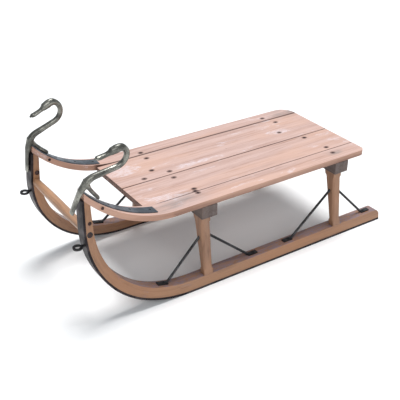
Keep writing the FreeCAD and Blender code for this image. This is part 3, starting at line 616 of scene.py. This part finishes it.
def fan_cuts(shape, size):
    """Cuts a bent piece into short lengths with planes through its bend's centre, ahead of it only."""
    for angle in steps(0.0, BEND_SWEEP, size / SOLE_RADIUS):
        normal = Vector((math.cos(angle), 0, math.sin(angle)))
        ahead = [face for face in shape.faces if face.calc_center_median().x > SOLE_CENTRE.x - size]
        edges = {edge for face in ahead for edge in face.edges}
        points = {point for face in ahead for point in face.verts}
        bmesh.ops.bisect_plane(shape, geom=list(points) + list(edges) + ahead, plane_co=SOLE_CENTRE,
                               plane_no=normal, dist=1e-7)


def bent_piece(node, slot, width, shift):
    """A copy of a runner or its shoe, with worn edges and the grain bent along it."""
    shape = merged_copy(node)
    cut_by(shape, straight_cuts(*RUNNER_CUTS))
    fan_cuts(shape, BEND_FACET)
    round_edges(shape, width)
    lay_grain(shape, along_runner, Vector(shift))
    return finished(f"{node}_worn", smoothed(shape, f"{node}_worn"), slot, [node])


# Geometry Nodes: fasteners

def fastener_tree():
    """Puts a low domed head on each point, turned to face its way and sized for it."""
    tree = bpy.data.node_groups.new("fastener_heads", "GeometryNodeTree")
    face = tree.interface
    face.new_socket("Geometry", in_out="INPUT", socket_type="NodeSocketGeometry")
    face.new_socket("Height", in_out="INPUT", socket_type="NodeSocketFloat")
    face.new_socket("Finish", in_out="INPUT", socket_type="NodeSocketMaterial")
    face.new_socket("Geometry", in_out="OUTPUT", socket_type="NodeSocketGeometry")
    given = tree.nodes.new("NodeGroupInput")
    head = add(tree, "GeometryNodeMeshUVSphere", {"Segments": 24, "Rings": 12, "Radius": 1.0})
    flat = add(tree, "ShaderNodeCombineXYZ", {"X": 1.0, "Y": 1.0, "Z": given.outputs["Height"]})
    low = add(tree, "GeometryNodeTransform", {"Geometry": head.outputs["Mesh"], "Scale": flat.outputs[0]})
    facing = add(tree, "GeometryNodeInputNamedAttribute", {"Name": "facing"}, data_type="FLOAT_VECTOR")
    size = add(tree, "GeometryNodeInputNamedAttribute", {"Name": "size"}, data_type="FLOAT")
    turned = add(tree, "FunctionNodeAlignRotationToVector", {
        "Vector": facing.outputs["Attribute"]}, axis="Z")
    placed = add(tree, "GeometryNodeInstanceOnPoints", {
        "Points": given.outputs["Geometry"], "Instance": low.outputs["Geometry"],
        "Rotation": turned.outputs["Rotation"], "Scale": size.outputs["Attribute"]})
    real = add(tree, "GeometryNodeRealizeInstances", {"Geometry": placed.outputs["Instances"]})
    smooth = add(tree, "GeometryNodeSetShadeSmooth", {"Geometry": real.outputs["Geometry"]})
    dressed = add(tree, "GeometryNodeSetMaterial", {
        "Geometry": smooth.outputs["Geometry"], "Material": given.outputs["Finish"]})
    result = tree.nodes.new("NodeGroupOutput")
    tree.links.new(dressed.outputs["Geometry"], result.inputs["Geometry"])
    return tree


def heads(name, places, height, slot):
    """Fastener heads as one piece. places: (position, facing, radius)."""
    tree = bpy.data.node_groups.get("fastener_heads") or fastener_tree()
    mesh = bpy.data.meshes.new(name)
    mesh.from_pydata([place[0] for place in places], [], [])
    mesh.attributes.new("facing", "FLOAT_VECTOR", "POINT")
    mesh.attributes.new("size", "FLOAT", "POINT")
    for number, (_, way, radius) in enumerate(places):
        mesh.attributes["facing"].data[number].vector = way
        mesh.attributes["size"].data[number].value = radius
    thing = bpy.data.objects.new(name, mesh)
    bpy.context.scene.collection.objects.link(thing)
    made = thing.modifiers.new("heads", "NODES")
    made.node_group = tree
    sockets = {item.name: item.identifier for item in tree.interface.items_tree if item.in_out == "INPUT"}
    made[sockets["Height"]] = height
    made[sockets["Finish"]] = material_of(slot)
    return finished(name, applied(thing), slot)


# The swans

def turtle(x, y, heading, moves, gap):
    """Points along straights (length, 0) and bends (length along, turn in radians), every gap or so."""
    points = [(x, y)]
    for length, turn in moves:
        count = max(2, round(length / gap))
        for _ in range(count):
            heading += turn / count / 2
            x += length / count * math.cos(heading)
            y += length / count * math.sin(heading)
            heading += turn / count / 2
            points.append((x, y))
    return points, heading


def tube(shape, stations):
    """Skins oval sections along a line in the swan's plane.

    Stations: (x, y, in-plane radius, cross radius, drop of the section towards the line's right side).
    """
    rings = []
    count = 20
    for number, (x, y, thick, wide, drop) in enumerate(stations):
        before = stations[max(0, number - 1)]
        after = stations[min(len(stations) - 1, number + 1)]
        way = Vector((after[0] - before[0], after[1] - before[1])).normalized()
        ring = []
        for step in range(count):
            angle = 2 * math.pi * step / count
            out = thick * math.cos(angle) - drop
            ring.append(shape.verts.new((x - way.y * out, wide * math.sin(angle), y + way.x * out)))
        rings.append(ring)
    for first, second in zip(rings, rings[1:]):
        for step in range(count):
            after = (step + 1) % count
            shape.faces.new((first[step], first[after], second[after], second[step]))
    shape.faces.new(rings[0])
    shape.faces.new(list(reversed(rings[-1])))


def with_radii(points, keys):
    """Gives each point two radii and a drop, eased between keys of (distance along, radii, drop)."""
    stations = []
    length = 0.0
    for number, point in enumerate(points):
        if number:
            length += math.dist(points[number - 1], point)
        for (low, *from_radii), (high, *to_radii) in zip(keys, keys[1:]):
            if length <= high:
                break
        mix = min(1.0, max(0.0, (length - low) / (high - low)))
        mix = mix * mix * (3 - 2 * mix)
        radii = [a + (b - a) * mix for a, b in zip(from_radii, to_radii)]
        stations.append((*point, *radii))
    return stations


def swan_shape():
    """Toe, chest, neck, head, bill and leg, in millimetres, upright in the XZ plane."""
    shape = bmesh.new()
    toe = [(473.0, 285), (472.9, 286), (472.7, 288), (472.4, 292), (471.7, 305), (471.0, 320), (469.8, 338),
           (467.0, 354), (464.0, 363)]
    neck, heading = turtle(461.4, 370.6, math.radians(102), [
        (31, math.radians(55)), (53, 0.0), (70.3, math.radians(-132)), (14, math.radians(-52))], 2.5)
    beak = turtle(*neck[-1], heading, [(57, math.radians(-2)), (2, math.radians(4))], 1.5)[0][1:]
    line = toe + neck + beak
    # The head is an oval with a steep forehead, and the bill runs on from its jaw, flat like a duck's.
    tube(shape, with_radii(line, [
        (0.0, 2.2, 5.5, 0), (3.0, 4.4, 8.2, 0), (55.0, 4.6, 8.6, 0), (76.0, 8.2, 8.6, 0),
        (92.0, 9.4, 9.0, 0), (118.0, 8.0, 8.0, 0), (150.0, 7.3, 7.3, 0), (205.0, 7.0, 7.0, 0),
        (232.0, 7.4, 7.2, 0), (247.0, 9.8, 8.8, 1.2), (259.0, 10.8, 9.6, 1.5), (270.0, 9.8, 8.8, 1.6),
        (279.0, 5.6, 7.0, 3.6), (285.0, 4.8, 6.8, 4.0), (299.0, 5.0, 7.4, 3.4), (306.0, 5.2, 7.0, 2.2),
        (309.5, 4.0, 5.4, 1.6), (311.5, 1.8, 2.6, 1.4)]))
    # The leg lies along the strap's top, and then climbs into the chest.
    leg = [(x, strap_level(x * MM, 4.4 * MM) / MM / math.cos(LEAN)) for x in steps(415.3, 455.0, 4.0)]
    leg += [(460.0, 376.0), (461.0, 384.0)]
    tube(shape, with_radii(leg, [
        (0.0, 4.3, 8.0, 0), (2.0, 4.6, 8.6, 0), (42.0, 5.0, 8.6, 0), (60.0, 7.6, 8.6, 0)]))
    return shape, neck


def swan_mesh(side, loose):
    """One swan as a single casting, on the left side for 1 and the right for -1."""
    size = bpy.context.scene.sled_sizes
    shape, neck = swan_shape()
    head = neck[-6]
    for across in (-1, 1):
        eye = Matrix.Translation(Vector((head[0] + 9.0, 7.9 * across, head[1] - 1.5)))
        bmesh.ops.create_uvsphere(shape, u_segments=16, v_segments=8, radius=1.9, matrix=eye)
    bmesh.ops.scale(shape, vec=(MM, MM, MM), verts=shape.verts)
    for point in shape.verts:
        x, across, up = point.co
        point.co = Vector((x, SIDE_MIDDLE - up * math.sin(LEAN) + across * math.cos(LEAN),
                           up * math.cos(LEAN) + across * math.sin(LEAN)))
    if loose:
        corner, moved = [Vector((x, 0, strap_level(x))) for x in (LEG_REAR, LEG_REAR + CREEP_FORWARD)]
        corner.y = side_middle(corner.z) + HALF_TOE
        moved.y = corner.y + CREEP_OUT
        tipped = Matrix.Rotation(TIP, 4, Vector((-math.sin(TIP_WAY), -math.cos(TIP_WAY), 0)))
        place = Matrix.Translation(moved) @ tipped @ Matrix.Translation(-corner)
        bmesh.ops.transform(shape, matrix=place, verts=shape.verts)
    if side < 0:
        bmesh.ops.scale(shape, vec=(1, -1, 1), verts=shape.verts)
    bmesh.ops.recalc_face_normals(shape, faces=shape.faces)
    mesh = bpy.data.meshes.new("swan_cast")
    shape.to_mesh(mesh)
    shape.free()
    thing = bpy.data.objects.new("swan_cast", mesh)
    bpy.context.scene.collection.objects.link(thing)
    remesh = thing.modifiers.new("one_casting", "REMESH")
    remesh.mode = "VOXEL"
    remesh.voxel_size = size.casting
    remesh.use_smooth_shade = True
    relaxed = thing.modifiers.new("sand_cast", "SMOOTH")
    relaxed.factor = 0.5
    relaxed.iterations = 6
    return applied(thing)


# Operators

class SLED_OT_runners(bpy.types.Operator):
    """Bent runners with their iron shoes"""
    bl_idname = "sled.runners"
    bl_label = "Build Runners"

    def execute(self, context):
        size = context.scene.sled_sizes
        for number, (side, _) in enumerate(SIDES):
            bent_piece(f"runner_{side}", "runner_wood", size.wood_edge, (number * 1.7, 0.3, 0.1))
            bent_piece(f"runner_shoe_{side}", "shoe_iron", size.iron_edge, (0, 0, 0))
        return {"FINISHED"}


class SLED_OT_deck(bpy.types.Operator):
    """Deck boards, with the two outer ones running on as arms"""
    bl_idname = "sled.deck"
    bl_label = "Build Deck"

    def execute(self, context):
        size = context.scene.sled_sizes
        for number, (side, _) in enumerate(SIDES):
            shift = (number * 2.3 + 0.7, number * 0.9, 0.0)
            # The right rail has shrunk most, so its seam is the widest.
            edge = size.wood_edge * (0.5 if side == "left" else 1.0)
            worn_piece(f"side_rail_{side}", "deck_wood", edge, along_arm,
                       straight_cuts(*ARM_CUTS) + seam_cuts(), shift, deck_grime_and_shade)
            shift = (number * 3.1 + 5.0, 0.4, 0.0)
            worn_piece(f"centre_board_{side}", "deck_wood", size.wood_edge * 0.5, None,
                       straight_cuts(*BOARD_CUTS) + seam_cuts(), shift, deck_grime_and_shade)
        return {"FINISHED"}


class SLED_OT_frame(bpy.types.Operator):
    """Posts with stopped chamfers, cross beams and the front rung"""
    bl_idname = "sled.frame"
    bl_label = "Build Frame"

    def execute(self, context):
        size = context.scene.sled_sizes
        for place in ("front", "rear"):
            for number, (side, _) in enumerate(SIDES):
                node = f"{place}_post_{side}"
                foot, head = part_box(node)
                stops = (foot.z + CHAMFER_STOPS[0], head.z - CHAMFER_STOPS[1])
                shape = merged_copy(node)
                cut_by(shape, [(Vector((0, 0, z)), Vector((0, 0, 1))) for z in stops])
                round_edges(shape, size.chamfer, 1, lambda edge: climbs_between(edge, *stops))
                round_edges(shape, size.iron_edge, 1)
                lay_grain(shape, upright_grain, Vector((number * 1.3 + (place == "rear") * 2.1, 0.2, 0.5)))
                finished(f"{node}_worn", smoothed(shape, f"{node}_worn"), "post_wood", [node])
            worn_piece(f"{place}_beam", "beam_wood", size.wood_edge, crossing_grain, (), (0.5, 0.8, 0.2))
        worn_piece("front_rung", "rung_wood", size.iron_edge, crossing_grain, (), (0.1, 0.6, 0.9))
        return {"FINISHED"}


class SLED_OT_ironwork(bpy.types.Operator):
    """Arm straps, braces and rope eyes"""
    bl_idname = "sled.ironwork"
    bl_label = "Build Ironwork"

    def execute(self, context):
        size = context.scene.sled_sizes
        for side, _ in SIDES:
            worn_piece(f"arm_strap_{side}", "strap_iron", size.iron_edge)
            worn_piece(f"rope_eye_{side}", "brace_iron", size.iron_edge)
            for place in ("front_fore", "front_aft", "rear_fore", "rear_aft"):
                worn_piece(f"{place}_brace_{side}", "brace_iron", size.iron_edge * 0.5)
        return {"FINISHED"}


class SLED_OT_swans(bpy.types.Operator):
    """Cast swans, the left one loose and tipped back and outwards"""
    bl_idname = "sled.swans"
    bl_label = "Build Swans"

    def execute(self, context):
        for side, sign in SIDES:
            finished(f"swan_{side}_cast", swan_mesh(sign, side == "left"), "swan_iron", [f"swan_{side}"])
        return {"FINISHED"}


class SLED_OT_fasteners(bpy.types.Operator):
    """Nails in the deck, bolts through the runners, screws in the braces' feet"""
    bl_idname = "sled.fasteners"
    bl_label = "Build Fasteners"

    def execute(self, context):
        size = context.scene.sled_sizes
        up = Vector((0, 0, 1))
        # Old nails differ in size, so the heads have four.
        nails = [(Vector((x * MM, y * MM, DECK_TOP - 0.5 * MM)), up, size.nail * (1.0 - 0.1 * (number % 4)))
                 for number, (x, y) in enumerate(DECK_NAILS)]
        heads("deck_nails", nails, 0.35, "nail_iron")
        bolts = []
        washers = []
        for _, sign in SIDES:
            out = Vector((0, sign * math.cos(LEAN), math.sin(LEAN)))
            through = Vector((0, sign * RUNNER_THICKNESS / math.cos(LEAN), 0))
            top, rung = [Vector((x, sign * side_face(z), z)) for x, z in (TOP_BOLT, RUNG_BOLT)]
            bolts += [(top, out, size.bolt), (top - through, -out, size.bolt * 1.3), (rung, out, size.bolt)]
            washers.append((rung, out, size.washer))
            # The strap's last rivet goes through the arm from side to side.
            x, z = ARM_BOLT
            for reach, way in zip(rail_sides(x), (-1, 1)):
                bolts.append((Vector((x, sign * reach, z)), Vector((0, sign * way, 0)), size.bolt * 0.8))
        heads("runner_bolts", bolts, 0.55, "nail_iron")
        heads("rung_washers", washers, 0.18, "brace_iron")
        screws = []
        for side, sign in SIDES:
            for place, ahead in (("front_aft", -1), ("rear_fore", 1), ("rear_aft", -1)):
                low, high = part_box(f"{place}_brace_{side}")
                x = (high.x - FOOT_SCREW) if ahead > 0 else (low.x + FOOT_SCREW)
                foot = Vector((x, sign * side_middle(RUNNER_TOP), RUNNER_TOP + FOOT_THICKNESS))
                screws.append((foot, up, size.nail * 0.75))
            for x in STRAP_SCREWS:
                y = sign * (STRAP_MIDDLE - (x - STRAP_SCREWS[0]) * STRAP_CLOSING)
                slope = Vector((ARM_START - x, 0, ARM_CENTRE_Z - strap_level(x))).normalized()
                screws.append((Vector((x, y, strap_level(x))), slope, size.nail * 0.7))
        heads("ironwork_screws", screws, 0.35, "brace_iron")
        return {"FINISHED"}


class SLED_OT_stage(bpy.types.Operator):
    """Plain pale floor, soft studio light and the camera"""
    bl_idname = "sled.stage"
    bl_label = "Build Stage"

    def execute(self, context):
        scene = context.scene
        mesh = bpy.data.meshes.new("floor")
        corners = [(x * FLOOR_REACH, y * FLOOR_REACH, 0) for x, y in ((-1, -1), (1, -1), (1, 1), (-1, 1))]
        mesh.from_pydata(corners, [], [(0, 1, 2, 3)])
        floor = bpy.data.objects.new("floor", mesh)
        scene.collection.objects.link(floor)
        material, _, surface = new_material("matt_white_floor")
        surface.inputs["Base Color"].default_value = linear("#f4f4f4")
        surface.inputs["Roughness"].default_value = 0.9
        mesh.materials.append(material)
        world = bpy.data.worlds.new("studio")
        world.use_nodes = True
        world.node_tree.nodes["Background"].inputs["Color"].default_value = linear("#f0f8ff")
        world.node_tree.nodes["Background"].inputs["Strength"].default_value = 0.4
        scene.world = world
        # Soft lamps as wide as a studio's, with degrees across and strength.
        lamps = [
            ("key", (0.9, 2.4, 1.7), 40, 0.95),
            ("top", (-0.6, -0.25, 2.8), 26, 2.95),
        ]
        for name, place, spread, strength in lamps:
            light = bpy.data.lights.new(name, "SUN")
            light.angle = math.radians(spread)
            light.energy = strength
            lamp = bpy.data.objects.new(name, light)
            lamp.location = place
            lamp.rotation_euler = (-Vector(place)).to_track_quat("-Z", "Y").to_euler()
            scene.collection.objects.link(lamp)
        lens = bpy.data.cameras.new("camera")
        lens.sensor_width = 36.0
        lens.lens = CAMERA_LENS_MM
        camera = bpy.data.objects.new("camera", lens)
        turn = Euler((math.pi / 2 - CAMERA_DOWN, 0, CAMERA_WAY - math.pi / 2)).to_matrix()
        turn = turn @ Matrix.Rotation(CAMERA_ROLL, 3, "Z")
        camera.matrix_world = Matrix.Translation(CAMERA_PLACE) @ turn.to_4x4()
        scene.collection.objects.link(camera)
        scene.camera = camera
        scene.view_settings.view_transform = "Standard"
        return {"FINISHED"}


OPERATORS = (
    SLED_OT_runners,
    SLED_OT_deck,
    SLED_OT_frame,
    SLED_OT_ironwork,
    SLED_OT_swans,
    SLED_OT_fasteners,
    SLED_OT_stage,
)


class SLED_PT_panel(bpy.types.Panel):
    """Lists the sled's building steps and settings"""
    bl_idname = "SLED_PT_panel"
    bl_label = "Antique Sled"
    bl_space_type = "VIEW_3D"
    bl_region_type = "UI"
    bl_category = "Sled"

    def draw(self, context):
        for operator in OPERATORS:
            self.layout.operator(operator.bl_idname)
        for group in (context.scene.sled_sizes, context.scene.sled_colours):
            for name in group.__annotations__:
                self.layout.prop(group, name)


CLASSES = (SledColours, SledSizes, *OPERATORS, SLED_PT_panel)


def register():
    for item in CLASSES:
        bpy.utils.register_class(item)
    bpy.types.Scene.sled_colours = bpy.props.PointerProperty(type=SledColours)
    bpy.types.Scene.sled_sizes = bpy.props.PointerProperty(type=SledSizes)


def unregister():
    del bpy.types.Scene.sled_sizes
    del bpy.types.Scene.sled_colours
    for item in reversed(CLASSES):
        bpy.utils.unregister_class(item)


def main():
    register()
    for operator in OPERATORS:
        group, name = operator.bl_idname.split(".")
        getattr(getattr(bpy.ops, group), name)()


if __name__ == "__main__":
    main()
